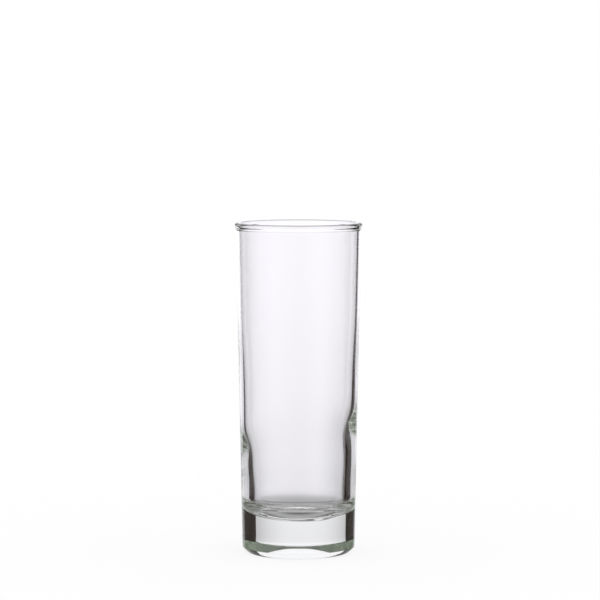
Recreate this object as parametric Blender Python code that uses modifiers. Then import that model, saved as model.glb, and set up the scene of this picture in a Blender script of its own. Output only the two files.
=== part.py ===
"""Tall stemless drinking glass: a heavy solid base with a bowl-shaped inner floor, a slightly flared
wall that thickens inside towards the base, and a fire-polished bead round the mouth. Metres, +Z up,
origin at the middle of the ring that it stands on."""

import math

import bpy

# Driving dimensions, in metres
HEIGHT = 0.156
BASE_RADIUS = 0.02655  # the flared outer wall carried down to the table
MOUTH_RADIUS = 0.02957  # the flared outer wall carried up to the mouth plane
UPPER_WALL = 0.00175  # glass thickness under the bead
SWELL = 0.00095  # what the wall gains on its way down from the thin top
SWELL_TOP = 0.118
SWELL_FOOT = 0.074
SHOULDER = 0.0022  # what it gains again at the shoulder inside the lower third
SHOULDER_TOP = 0.071
SHOULDER_FOOT = 0.049
LOWER_SWELL = 0.0008  # and what it gains last, just above the bowl
LOWER_TOP = 0.046
LOWER_FOOT = 0.026
BEAD_HEIGHT = 0.0025
BEAD_PROUD = 0.00065  # how far the bead stands out from the wall
SHAM = 0.0162  # solid glass under the middle of the inner floor, measured from the table
BOWL_RISE = 0.0105  # how far the inner floor rises from its middle to the wall
HEEL_INSET = 0.0026  # how far the heel draws in on its way down to the table
HEEL_HEIGHT = 0.0022
HEEL_FULLNESS = 1.2  # 1 is a straight bevel, 2 is a quarter of an ellipse
BEARING_WIDTH = 0.0065  # flat ring that the glass stands on
PUSH_UP_DEPTH = 0.0025  # hollow of the underside

# Smoothness of the turned faces
TURN_STEPS = 80
WALL_POINTS = 24
BOWL_POINTS = 13
BEAD_POINTS = 13
ARC_POINTS = 7

GLASS_COLOUR = (0.93, 0.96, 0.94, 1.0)
GLASS_ROUGHNESS = 0.02
GLASS_IOR = 1.52

FLARE = (MOUTH_RADIUS - BASE_RADIUS) / HEIGHT
BASE_TOP = SHAM + BOWL_RISE  # flat face where the wall grows out of the base


def clear_scene():
    for old in list(bpy.data.objects):
        bpy.data.objects.remove(old, do_unlink=True)


def smooth_step(share):
    """0 below 0, 1 above 1, and an S curve between them."""
    held = min(max(share, 0.0), 1.0)
    return held * held * (3 - 2 * held)


def outer_radius(z):
    return BASE_RADIUS + FLARE * z


def wall_thickness(z):
    """Thin at the mouth, then thicker in three smooth steps on the way down to the bowl."""
    swell = smooth_step((SWELL_TOP - z) / (SWELL_TOP - SWELL_FOOT))
    shoulder = smooth_step((SHOULDER_TOP - z) / (SHOULDER_TOP - SHOULDER_FOOT))
    lower = smooth_step((LOWER_TOP - z) / (LOWER_TOP - LOWER_FOOT))
    return UPPER_WALL + SWELL * swell + SHOULDER * shoulder + LOWER_SWELL * lower


def inner_radius(z):
    return outer_radius(z) - wall_thickness(z)


def arc(centre, half_width, half_height, start, end, points=ARC_POINTS):
    """Points along part of an ellipse, with its angles in degrees from the +X side."""
    turn = [math.radians(start + (end - start) * i / (points - 1)) for i in range(points)]
    return [(centre[0] + half_width * math.cos(a), centre[1] + half_height * math.sin(a)) for a in turn]


def bead_section():
    """Middle, half width and half height of the bead's oval section, and the height of its seat."""
    half_height = BEAD_HEIGHT / 2
    middle_z = HEIGHT - half_height
    half_width = (wall_thickness(middle_z) + BEAD_PROUD) / 2
    middle_r = inner_radius(middle_z) + half_width
    seat_share = (half_width - BEAD_PROUD) / half_width
    seat_z = middle_z - half_height * math.sqrt(1 - seat_share**2)
    return (middle_r, middle_z), half_width, half_height, seat_z


def bead_outline():
    """The bead: flush with the wall inside, rounded over the lip and proud of the wall outside."""
    middle, half_width, half_height, seat_z = bead_section()
    crown = arc(middle, half_width, half_height, 180, 0, BEAD_POINTS)
    under_angle = math.degrees(math.asin((seat_z - middle[1]) / half_height))
    under = arc(middle, half_width, half_height, 0, under_angle)[1:-1]
    return crown + under + [(outer_radius(seat_z), seat_z), (inner_radius(seat_z), seat_z)]


def wall_outline():
    """The wall: a straight flared outside, and an inside that follows the glass thickness."""
    seat_z = bead_section()[3]
    heights = [BASE_TOP + (seat_z - BASE_TOP) * i / (WALL_POINTS - 1) for i in range(WALL_POINTS)]
    inside = [(inner_radius(z), z) for z in heights]
    return [(outer_radius(seat_z), seat_z), (outer_radius(BASE_TOP), BASE_TOP)] + inside


def heel_outline():
    """From the outside down to the bearing ring: a quarter of an ellipse drawn flat by its fullness."""
    ring_edge = outer_radius(HEEL_HEIGHT) - HEEL_INSET
    quarter = arc((0, 0), 1, 1, 0, 90)
    power = 2 / HEEL_FULLNESS
    return [
        (ring_edge + HEEL_INSET * max(x, 0.0) ** power, HEEL_HEIGHT * (1 - max(y, 0.0) ** power))
        for x, y in quarter
    ]


def base_outline():
    """The base from its axis: inner bowl, seat of the wall, heel, bearing ring and hollow underside."""
    bowl = arc((0, BASE_TOP), inner_radius(BASE_TOP), BOWL_RISE, -90, 0, BOWL_POINTS)
    heel = heel_outline()
    hollow_radius = heel[-1][0] - BEARING_WIDTH
    dome_radius = (hollow_radius**2 + PUSH_UP_DEPTH**2) / (2 * PUSH_UP_DEPTH)
    dome_edge = math.degrees(math.asin(hollow_radius / dome_radius))
    dome = arc((0, PUSH_UP_DEPTH - dome_radius), dome_radius, dome_radius, 90 - dome_edge, 90)
    return bowl + [(outer_radius(BASE_TOP), BASE_TOP)] + heel + dome


def glass(name):
    material = bpy.data.materials.new(name)
    material.use_nodes = True
    shader = material.node_tree.nodes["Principled BSDF"]
    shader.inputs["Base Color"].default_value = GLASS_COLOUR
    shader.inputs["Roughness"].default_value = GLASS_ROUGHNESS
    shader.inputs["Metallic"].default_value = 0.0
    shader.inputs["IOR"].default_value = GLASS_IOR
    shader.inputs["Transmission Weight"].default_value = 1.0
    return material


def turned(name, outline, collection, parent, closed):
    """A piece turned about the Z axis from its outline, which runs down its outer side."""
    count = len(outline)
    edges = [(i, (i + 1) % count) for i in range(count if closed else count - 1)]
    mesh = bpy.data.meshes.new(name)
    mesh.from_pydata([(r, 0, z) for r, z in outline], edges, [])
    mesh.materials.append(glass(name + "_glass"))
    piece = bpy.data.objects.new(name, mesh)
    collection.objects.link(piece)
    piece.parent = parent
    lathe = piece.modifiers.new("turn", "SCREW")
    lathe.steps = TURN_STEPS
    lathe.render_steps = TURN_STEPS
    lathe.use_merge_vertices = True
    lathe.merge_threshold = 1e-6
    lathe.use_smooth_shade = True
    return piece


def main():
    clear_scene()
    collection = bpy.data.collections.new("tall_tumbler")
    bpy.context.scene.collection.children.link(collection)
    stand = bpy.data.objects.new("tumbler_axis", None)
    collection.objects.link(stand)
    turned("heavy_base", base_outline(), collection, stand, closed=False)
    turned("side_wall", wall_outline(), collection, stand, closed=True)
    turned("rim_bead", bead_outline(), collection, stand, closed=True)


main()
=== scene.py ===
"""A clear highball tumbler standing on a white studio table."""

import math

import bpy
import numpy as np
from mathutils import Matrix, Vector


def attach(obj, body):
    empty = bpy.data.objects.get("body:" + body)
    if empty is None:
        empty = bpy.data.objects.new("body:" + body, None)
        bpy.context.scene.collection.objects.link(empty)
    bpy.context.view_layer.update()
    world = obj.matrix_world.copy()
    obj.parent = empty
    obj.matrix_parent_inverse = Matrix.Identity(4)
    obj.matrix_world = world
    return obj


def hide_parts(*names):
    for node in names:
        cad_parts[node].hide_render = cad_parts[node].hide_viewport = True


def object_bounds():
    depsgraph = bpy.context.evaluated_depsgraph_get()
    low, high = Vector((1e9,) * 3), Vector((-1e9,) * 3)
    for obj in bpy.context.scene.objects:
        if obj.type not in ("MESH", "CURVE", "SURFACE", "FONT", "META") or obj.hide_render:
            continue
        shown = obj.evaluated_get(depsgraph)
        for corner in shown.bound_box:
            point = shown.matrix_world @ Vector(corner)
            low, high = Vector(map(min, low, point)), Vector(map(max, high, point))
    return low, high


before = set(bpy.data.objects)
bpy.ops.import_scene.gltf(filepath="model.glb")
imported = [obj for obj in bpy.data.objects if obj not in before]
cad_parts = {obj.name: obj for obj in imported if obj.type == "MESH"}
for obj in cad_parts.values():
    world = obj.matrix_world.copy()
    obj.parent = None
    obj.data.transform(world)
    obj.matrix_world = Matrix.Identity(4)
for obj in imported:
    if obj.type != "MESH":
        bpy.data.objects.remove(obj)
cad_low, cad_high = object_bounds()

# The outside of the glass, in metres
HEIGHT = cad_high.z
BASE_RADIUS = 0.02655
MOUTH_RADIUS = 0.02957
BEAD_HEIGHT = 0.0025
BEAD_PROUD = 0.00065
BEAD_BLEND = 0.0012
BLEND_PULL = 0.9
BEAD_START = -35
HEEL_INSET = 0.0030
HEEL_HEIGHT = 0.0028
HEEL_FULLNESS = 1.2
BEARING_WIDTH = 0.0065
PUSH_UP = 0.0025

# The wall, which swells to a shoulder that leans to one side
UPPER_WALL = 0.00175
SWELL = 0.00095
SWELL_HEIGHT = 0.096
SWELL_REACH = 0.0140
SHOULDER = 0.0022
SHOULDER_HEIGHT = 0.0580
SHOULDER_LEAN = 0.0050
SHOULDER_REACH = 0.0056
SHOULDER_REACH_LEAN = -0.0006
SHOULDER_SPREAD = 0.0080
LOWER_SWELL = 0.0008
LOWER_LEAN = -0.3
LOWER_HEIGHT = 0.036
LOWER_REACH = 0.0070

# The bowl inside the thick base
SHAM = 0.0162
BOWL_RISE = 0.0112
BOWL_EASE = 2.3
BOWL_FLAT = 2.8
RIPPLES = 2
RIPPLE = 0.00022
RIPPLE_LEAN = 0.9

# How finely the surface is divided
TURNS = 256
HOLLOW_RINGS = 40
BEARING_RINGS = 5
HEEL_RINGS = 41
OUTER_RINGS = 60
BLEND_RINGS = 14
BEAD_RINGS = 40
INNER_RINGS = 130
BOWL_RINGS = 60

# The glass itself
REFRACTION = 1.52
GLASS_TINT = (0.66, 0.90, 0.56)
GLASS_DENSITY = 2.0
FILM_ROUGHNESS = 0.012
FILM_FROM = 0.45
FILM_TO = 0.75
SMUDGE_SCALE = 40.0
SMUDGE_DETAIL = 3.0
WORN_HEIGHT = 0.0030
WORN_ROUGHNESS = 0.20

# The camera, in metres, degrees and millimetres of lens
CAMERA_PLACE = (0.0007, -1.350, 0.2239)
CAMERA_PITCH = 4.424
LENS = 172.3
SENSOR = 36.0
NEAREST_SEEN = 0.01

# The white card behind the glass, glowing with painted light, and below the table its painted reflection
# there, with a band of painted shadow where the glass shades the table
CARD_AWAY = 0.220
CARD_LEFT = -0.193
CARD_RIGHT = 0.145
CARD_TOP = 0.150
CARD_CROWN = 0.080
CARD_CROWN_WIDTH = 0.085
CARD_FOOT = -0.260
CARD_COLUMNS = 81
CARD_LIGHT = 1.29
CARD_UP = (
    # Up the card: below height 0 it is the painted reflection in the table, darkest near -0.15 as painted
    # shadow of the glass on the table near its foot
    (-0.260, 0.50),
    (-0.215, 0.38),
    (-0.180, 0.24),
    (-0.150, 0.21),
    (-0.120, 0.27),
    (-0.098, 0.36),
    (-0.080, 0.42),
    (-0.062, 0.51),
    (-0.046, 0.68),
    (-0.030, 0.715),
    (0.010, 0.79),
    (0.060, 0.825),
    (0.120, 0.86),
    (0.230, 0.88),
)
CARD_ACROSS = (
    # Across the card the painted light falls off to both sides
    (-0.193, (0.600, 0.587, 0.618)),
    (-0.120, (0.776, 0.759, 0.799)),
    (-0.060, (0.941, 0.920, 0.969)),
    (0.020, (0.970, 0.949, 1.000)),
    (0.060, (0.834, 0.816, 0.859)),
    (0.110, (0.660, 0.645, 0.680)),
    (0.145, (0.563, 0.550, 0.580)),
)
# Towards its top the card is lit more evenly across
EVEN_FROM = -0.020
EVEN_TO = 0.090
EVEN_LIGHT = (0.970, 0.949, 1.000)

# The dark room round it, by the angle up from straight ahead, right round
ROOM_UP = (
    # From straight down to -44 degrees it stands for the table under and round the glass's foot: painted
    # shade for the glass's shadow on it
    (-90, (0.33, 0.33, 0.34)),
    (-60, (0.45, 0.45, 0.45)),
    (-44, (0.28, 0.27, 0.27)),
    (-30, (0.030, 0.018, 0.014)),
    (-12, (0.012, 0.006, 0.004)),
    (20, (0.012, 0.006, 0.004)),
    (35, (0.030, 0.026, 0.022)),
    (50, (0.100, 0.098, 0.092)),
    (65, (0.300, 0.306, 0.294)),
    (128, (0.180, 0.186, 0.175)),
    (142, (0.80, 0.80, 0.82)),
    (180, (0.80, 0.80, 0.82)),
    (230, (0.60, 0.60, 0.62)),
    (262, (0.33, 0.33, 0.34)),
)
# and what is left of that at each angle to the left (minus) or the right, on the camera's side
ROOM_BEHIND = (
    (-80, (0.30, 0.30, 0.30)),
    (-55, (1.10, 1.10, 1.10)),
    (-20, (0.30, 0.29, 0.28)),
    (10, (0.30, 0.29, 0.28)),
    (30, (0.55, 0.54, 0.52)),
    (60, (0.12, 0.12, 0.12)),
)
BEHIND_FROM = 0.2
BEHIND_TO = -0.2
ROOM_RADIUS = 4.0
ROOM_CENTRE = 0.07
ROOM_SEGMENTS = 96
ROOM_RINGS = 48

# The table and the light's path through the glass
FLOOR_SIZE = 8.0
FLOOR_GLOW = 0.85
FLOOR_WHITE = (0.98, 0.98, 0.98)
LIGHT_BOUNCES = 128


def outer_radius(height):
    """The outside is a straight cone: its radius grows evenly from the base to the mouth."""
    return BASE_RADIUS + (MOUTH_RADIUS - BASE_RADIUS) * height / HEIGHT


def eased_below(height, middle, reach):
    """0 far above the middle and 1 far below it: half of one plus the hyperbolic tangent of the drop
    over the reach."""
    return 0.5 * (1.0 + np.tanh((middle - height) / reach))


def wall_thickness(height, turn):
    """The upper wall, plus an eased swell, an eased shoulder and a last eased swell above the bowl. The
    shoulder's height follows the cosine of the turn, so it leans, and it is longest at front and back."""
    lean = np.cos(turn)
    middle = SHOULDER_HEIGHT + SHOULDER_LEAN * lean
    reach = SHOULDER_REACH - SHOULDER_REACH_LEAN * lean + SHOULDER_SPREAD * np.sin(turn) ** 2
    swell = SWELL * eased_below(height, SWELL_HEIGHT, SWELL_REACH)
    shoulder = SHOULDER * eased_below(height, middle, reach)
    lower = LOWER_SWELL * (1.0 + LOWER_LEAN * lean) * eased_below(height, LOWER_HEIGHT, LOWER_REACH)
    return UPPER_WALL + swell + shoulder + lower


def inner_radius(height, turn):
    """The outside radius less the wall."""
    return outer_radius(height) - wall_thickness(height, turn)


def underside():
    """From the centre out: a shallow dome whose height falls with the square of the radius, then the
    flat ring that the glass stands on."""
    ring_outer = outer_radius(HEEL_HEIGHT) - HEEL_INSET
    ring_inner = ring_outer - BEARING_WIDTH
    share = np.linspace(0.0, 1.0, HOLLOW_RINGS)
    ring = np.linspace(ring_inner, ring_outer, BEARING_RINGS)[1:-1]
    radius = np.concatenate([ring_inner * share, ring])
    height = np.concatenate([PUSH_UP * (1.0 - share**2), np.zeros(len(ring))])
    return radius, height


def heel():
    """A quarter of a superellipse from the flat ring up to the outside, its sine and cosine raised to
    two over the fullness, leaning out with the cone."""
    angle = np.radians(np.linspace(-90.0, 0.0, HEEL_RINGS))
    power = 2.0 / HEEL_FULLNESS
    height = HEEL_HEIGHT * (1.0 - np.abs(np.sin(angle)) ** power)
    radius = outer_radius(HEEL_HEIGHT) - HEEL_INSET * (1.0 - np.abs(np.cos(angle)) ** power)
    lean = (outer_radius(height) - outer_radius(HEEL_HEIGHT)) * height / HEEL_HEIGHT
    return radius + lean, height


def bead_centre():
    """Radius and height of the middle of the rim's rounded bead, and its half width and half height."""
    half_height = BEAD_HEIGHT / 2
    height = HEIGHT - half_height
    half_width = (UPPER_WALL + BEAD_PROUD) / 2
    radius = outer_radius(height) - UPPER_WALL + half_width
    return radius, height, half_width, half_height


def outer_wall():
    """The straight cone from the heel to just under the bead."""
    _, middle, _, half = bead_centre()
    height = np.linspace(HEEL_HEIGHT, middle - half - BEAD_BLEND, OUTER_RINGS)[1:]
    return outer_radius(height), height


def bead_blend():
    """A cubic curve that leaves the cone along its slope and meets the bead along the bead's edge."""
    middle_radius, middle, half_width, half_height = bead_centre()
    angle = math.radians(BEAD_START)
    low = middle - half_height - BEAD_BLEND
    start = np.array([outer_radius(low), low])
    end = np.array([middle_radius + half_width * math.cos(angle), middle + half_height * math.sin(angle)])
    reach = BLEND_PULL * np.linalg.norm(end - start)
    leave = reach * np.array([(MOUTH_RADIUS - BASE_RADIUS) / HEIGHT, 1.0])
    arrive = np.array([-half_width * math.sin(angle), half_height * math.cos(angle)])
    arrive *= reach / np.linalg.norm(arrive)
    share = np.linspace(0.0, 1.0, BLEND_RINGS)[1:-1, None]
    curve = (2 * share**3 - 3 * share**2 + 1) * start + (share**3 - 2 * share**2 + share) * leave
    curve += (3 * share**2 - 2 * share**3) * end + (share**3 - share**2) * arrive
    return curve[:, 0], curve[:, 1]


def bead():
    """An ellipse from low on the outside, over the top and down to the inner wall."""
    middle_radius, middle, half_width, half_height = bead_centre()
    angle = np.radians(np.linspace(BEAD_START, 180.0, BEAD_RINGS))
    return middle_radius + half_width * np.cos(angle), middle + half_height * np.sin(angle)


def inner_wall(turn):
    """Down the inside from the bead to the edge of the bowl, one radius for each turn and height."""
    _, middle, _, _ = bead_centre()
    height = np.linspace(middle, SHAM + BOWL_RISE, INNER_RINGS)[1:]
    return inner_radius(height, turn), np.broadcast_to(height, (len(turn), len(height)))


def bowl(turn):
    """From the inner wall down to the middle of the floor, on a superellipse: one less the depth raised to
    its ease, and then one over the flatness as its power, gives the share of the edge's radius. The depth
    is the sine of an even angle, so the rings crowd together towards the floor. Faint sine ripples round
    the floor, deeper to one side, are left by the plunger."""
    edge = inner_radius(SHAM + BOWL_RISE, turn)
    depth = np.sin(np.radians(np.linspace(0.0, 90.0, BOWL_RINGS)))[1:]
    share = (1.0 - depth**BOWL_EASE) ** (1.0 / BOWL_FLAT)
    ripple = RIPPLE * np.sin(2 * math.pi * RIPPLES * share) * (1.0 - share**2)
    height = SHAM + BOWL_RISE * (1.0 - depth) + ripple * (1.0 + RIPPLE_LEAN * np.cos(turn))
    return edge * share, height


def turned_glass(name):
    """The whole outline, from under the middle round over the rim to the bowl's middle, carried round
    the axis: x and y are the radius times the turn's cosine and sine. Both ends close on the axis."""
    turn = np.linspace(0.0, 2 * math.pi, TURNS, endpoint=False)[:, None]
    outside = [underside(), heel(), outer_wall(), bead_blend(), bead()]
    outside_radius = np.concatenate([radius for radius, _ in outside])
    outside_height = np.concatenate([height for _, height in outside])
    shape = (TURNS, len(outside_radius))
    inside = [inner_wall(turn), bowl(turn)]
    radius = np.hstack([np.broadcast_to(outside_radius, shape)] + [part[0] for part in inside])
    height = np.hstack([np.broadcast_to(outside_height, shape)] + [part[1] for part in inside])
    points = np.stack([radius * np.cos(turn), radius * np.sin(turn), height], axis=-1)
    body = points[:, 1:-1].reshape(-1, 3)
    ends = np.array([[0.0, 0.0, height[0, 0]], [0.0, 0.0, height[0, -1]]])
    rings = points.shape[1] - 2
    here = np.arange(TURNS)[:, None] * rings
    onward = np.roll(here, -1, axis=0)
    along = np.arange(rings - 1)
    walls = np.stack([onward + along, onward + along + 1, here + along + 1, here + along], axis=-1)
    under = np.hstack([np.full_like(here, len(body)), onward, here])
    floor = np.hstack([np.full_like(here, len(body) + 1), here + rings - 1, onward + rings - 1])
    faces = walls.reshape(-1, 4).tolist() + under.tolist() + floor.tolist()
    mesh = bpy.data.meshes.new(name)
    mesh.from_pydata(np.vstack([body, ends]).tolist(), [], faces)
    mesh.shade_smooth()
    glass = bpy.data.objects.new(name, mesh)
    bpy.context.scene.collection.objects.link(glass)
    return glass


def new_material(name):
    """An empty node material with its output node."""
    material = bpy.data.materials.new(name)
    material.use_nodes = True
    tree = material.node_tree
    tree.nodes.clear()
    return material, tree, tree.nodes.new("ShaderNodeOutputMaterial")


def add_node(tree, kind, inputs=None, **settings):
    """A node with its settings made and its inputs set, or linked where one is another node's output."""
    made = tree.nodes.new("ShaderNode" + kind)
    for setting, value in settings.items():
        setattr(made, setting, value)
    for socket, value in (inputs or {}).items():
        if isinstance(value, bpy.types.NodeSocket):
            tree.links.new(value, made.inputs[socket])
        else:
            made.inputs[socket].default_value = value
    return made


def clear_glass():
    """Clear soda glass: faintly green through its thickness, with a worn ring where it stands."""
    material, tree, output = new_material("clear_glass")
    place = add_node(tree, "TexCoord").outputs["Object"]
    height = add_node(tree, "SeparateXYZ", {0: place}).outputs[2]
    smudge = add_node(
        tree, "TexNoise", {"Vector": place, "Scale": SMUDGE_SCALE, "Detail": SMUDGE_DETAIL}
    ).outputs["Fac"]
    film = add_node(
        tree,
        "MapRange",
        {"Value": smudge, "From Min": FILM_FROM, "From Max": FILM_TO, "To Max": FILM_ROUGHNESS},
    )
    wear = add_node(
        tree,
        "MapRange",
        {"Value": height, "From Max": WORN_HEIGHT, "To Min": WORN_ROUGHNESS, "To Max": 0.0},
    )
    roughness = add_node(tree, "Math", {0: film.outputs[0], 1: wear.outputs[0]}, operation="MAXIMUM")
    surface = add_node(
        tree,
        "BsdfPrincipled",
        {
            "Base Color": (1.0, 1.0, 1.0, 1.0),
            "Roughness": roughness.outputs[0],
            "IOR": REFRACTION,
            "Transmission Weight": 1.0,
        },
    )
    depth = add_node(tree, "VolumeAbsorption", {"Color": (*GLASS_TINT, 1.0), "Density": GLASS_DENSITY})
    tree.links.new(surface.outputs[0], output.inputs["Surface"])
    tree.links.new(depth.outputs[0], output.inputs["Volume"])
    return material


def share_of(tree, value, low, high, unit=1.0):
    """Where a value lies between two others, from 0 to 1."""
    span = {"Value": value, "From Min": low * unit, "From Max": high * unit}
    return add_node(tree, "MapRange", span).outputs[0]


def colour_stops(tree, share, stops, low, high):
    """A colour ramp over a share from 0 to 1, its stops given between low and high."""
    ramp = add_node(tree, "ValToRGB", {"Fac": share})
    ramp.color_ramp.interpolation = "B_SPLINE"
    elements = ramp.color_ramp.elements
    elements.remove(elements[-1])
    for index, (place, colour) in enumerate(stops):
        position = (place - low) / (high - low)
        element = elements[0] if index == 0 else elements.new(position)
        element.position = position
        shade = colour if isinstance(colour, tuple) else (colour, colour, colour)
        element.color = (*shade, 1.0)
    return ramp.outputs["Color"]


def seen_by_glass_only(thing):
    """The camera, the floor's light and shadows pass this by."""
    thing.visible_camera = False
    thing.visible_diffuse = False
    thing.visible_shadow = False


def give_light(thing, tree, output, material, colour, strength=1.0):
    """The thing shines with that colour."""
    glow = add_node(tree, "Emission", {"Color": colour, "Strength": strength})
    tree.links.new(glow.outputs[0], output.inputs["Surface"])
    thing.data.materials.append(material)


def dark_room(camera):
    """A big sphere round the glass, dark but for the light on the camera's side and grey below, where it
    stands for the table under the glass with painted shade for the glass's shadow on it. It turns with the
    camera, as when an object is turned on a table in front of a fixed camera and lights."""
    bpy.ops.mesh.primitive_uv_sphere_add(
        segments=ROOM_SEGMENTS,
        ring_count=ROOM_RINGS,
        radius=ROOM_RADIUS,
        location=(0.0, 0.0, ROOM_CENTRE),
    )
    room = bpy.context.object
    room.name = "dark_room"
    room.data.shade_smooth()
    seen_by_glass_only(room)
    material, tree, output = new_material("room_light")
    place = add_node(tree, "TexCoord").outputs["Object"]
    way = add_node(tree, "VectorMath", {0: place}, operation="NORMALIZE").outputs[0]
    across, ahead, up = add_node(tree, "SeparateXYZ", {0: way}).outputs
    rise = add_node(tree, "Math", {0: up, 1: ahead}, operation="ARCTAN2").outputs[0]
    past = add_node(tree, "Math", {0: rise, 1: math.radians(-90)}, operation="LESS_THAN").outputs[0]
    turn = add_node(tree, "Math", {0: past, 1: 2 * math.pi, 2: rise}, operation="MULTIPLY_ADD").outputs[0]
    aside = add_node(tree, "Math", {0: across}, operation="ARCSINE").outputs[0]
    up_light = colour_stops(tree, share_of(tree, turn, -90, 270, math.radians(1)), ROOM_UP, -90, 270)
    side_light = colour_stops(tree, share_of(tree, aside, -90, 90, math.radians(1)), ROOM_BEHIND, -90, 90)
    behind = share_of(tree, ahead, BEHIND_FROM, BEHIND_TO)
    spread = add_node(
        tree, "Mix", {"Factor": behind, 6: (1.0, 1.0, 1.0, 1.0), 7: side_light}, data_type="RGBA"
    ).outputs[2]
    light = add_node(tree, "VectorMath", {0: up_light, 1: spread}, operation="MULTIPLY").outputs[0]
    give_light(room, tree, output, material, light)
    follow = room.constraints.new("LOCKED_TRACK")
    follow.target = camera
    follow.track_axis = "TRACK_NEGATIVE_Y"
    follow.lock_axis = "LOCK_Z"
    return room


def white_card(room):
    """An upright white card behind the glass, glowing with painted light. Its top edge is level but for a
    rounded crown, a bell curve across its middle. Its part under the table is a painted reflection of it
    there, with a darker band of painted shadow where the glass shades the table near its foot."""
    across = np.linspace(CARD_LEFT, CARD_RIGHT, CARD_COLUMNS)
    top = CARD_TOP + CARD_CROWN * np.exp(-((across / CARD_CROWN_WIDTH) ** 2))
    foot = np.full(CARD_COLUMNS, CARD_FOOT)
    level = np.zeros(CARD_COLUMNS)
    points = np.vstack([np.column_stack([across, level, foot]), np.column_stack([across, level, top])])
    column = np.arange(CARD_COLUMNS - 1)
    faces = np.column_stack([column, column + 1, column + 1 + CARD_COLUMNS, column + CARD_COLUMNS])
    mesh = bpy.data.meshes.new("white_card")
    mesh.from_pydata(points.tolist(), [], faces.tolist())
    card = bpy.data.objects.new("white_card", mesh)
    bpy.context.scene.collection.objects.link(card)
    card.parent = room
    card.location = (0.0, CARD_AWAY, -ROOM_CENTRE)
    seen_by_glass_only(card)
    material, tree, output = new_material("card_light")
    place = add_node(tree, "TexCoord").outputs["Object"]
    across, _, up = add_node(tree, "SeparateXYZ", {0: place}).outputs
    crest = CARD_TOP + CARD_CROWN
    up_light = colour_stops(tree, share_of(tree, up, CARD_FOOT, crest), CARD_UP, CARD_FOOT, crest)
    side_light = colour_stops(
        tree, share_of(tree, across, CARD_LEFT, CARD_RIGHT), CARD_ACROSS, CARD_LEFT, CARD_RIGHT
    )
    even = share_of(tree, up, EVEN_FROM, EVEN_TO)
    evened = add_node(
        tree, "Mix", {"Factor": even, 6: side_light, 7: (*EVEN_LIGHT, 1.0)}, data_type="RGBA"
    ).outputs[2]
    light = add_node(tree, "VectorMath", {0: up_light, 1: evened}, operation="MULTIPLY").outputs[0]
    give_light(card, tree, output, material, light, CARD_LIGHT)
    return card


def studio_floor():
    """A white table that glows enough to print white, and still takes the glass's shadow."""
    bpy.ops.mesh.primitive_plane_add(size=2 * FLOOR_SIZE)
    floor = bpy.context.object
    floor.name = "studio_floor"
    floor.visible_transmission = False
    floor.visible_glossy = False
    material, tree, output = new_material("white_table")
    matt = add_node(tree, "BsdfDiffuse", {"Color": (*FLOOR_WHITE, 1.0)})
    glow = add_node(tree, "Emission")
    both = add_node(tree, "MixShader", {"Fac": FLOOR_GLOW, 1: matt.outputs[0], 2: glow.outputs[0]})
    tree.links.new(both.outputs[0], output.inputs["Surface"])
    floor.data.materials.append(material)
    return floor


def white_world():
    """White all round."""
    world = bpy.data.worlds.new("white_studio")
    world.use_nodes = True
    world.node_tree.nodes["Background"].inputs["Color"].default_value = (1.0, 1.0, 1.0, 1.0)
    bpy.context.scene.world = world


def studio_camera():
    """A long lens a little above the rim, tipped down."""
    data = bpy.data.cameras.new("camera")
    data.lens = LENS
    data.sensor_width = SENSOR
    data.clip_start = NEAREST_SEEN
    camera = bpy.data.objects.new("camera", data)
    camera.location = CAMERA_PLACE
    camera.rotation_euler = (math.radians(90.0 - CAMERA_PITCH), 0.0, 0.0)
    bpy.context.scene.collection.objects.link(camera)
    bpy.context.scene.camera = camera
    return camera


def main():
    scene = bpy.context.scene
    tumbler = turned_glass("tumbler_glass")
    tumbler.data.materials.append(clear_glass())
    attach(tumbler, "root")
    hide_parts("heavy_base", "side_wall", "rim_bead")
    camera = studio_camera()
    white_world()
    room = dark_room(camera)
    studio_floor()
    white_card(room)
    scene.view_settings.view_transform = "Standard"
    scene.cycles.max_bounces = LIGHT_BOUNCES
    scene.cycles.transmission_bounces = LIGHT_BOUNCES
    scene.cycles.glossy_bounces = LIGHT_BOUNCES


main()
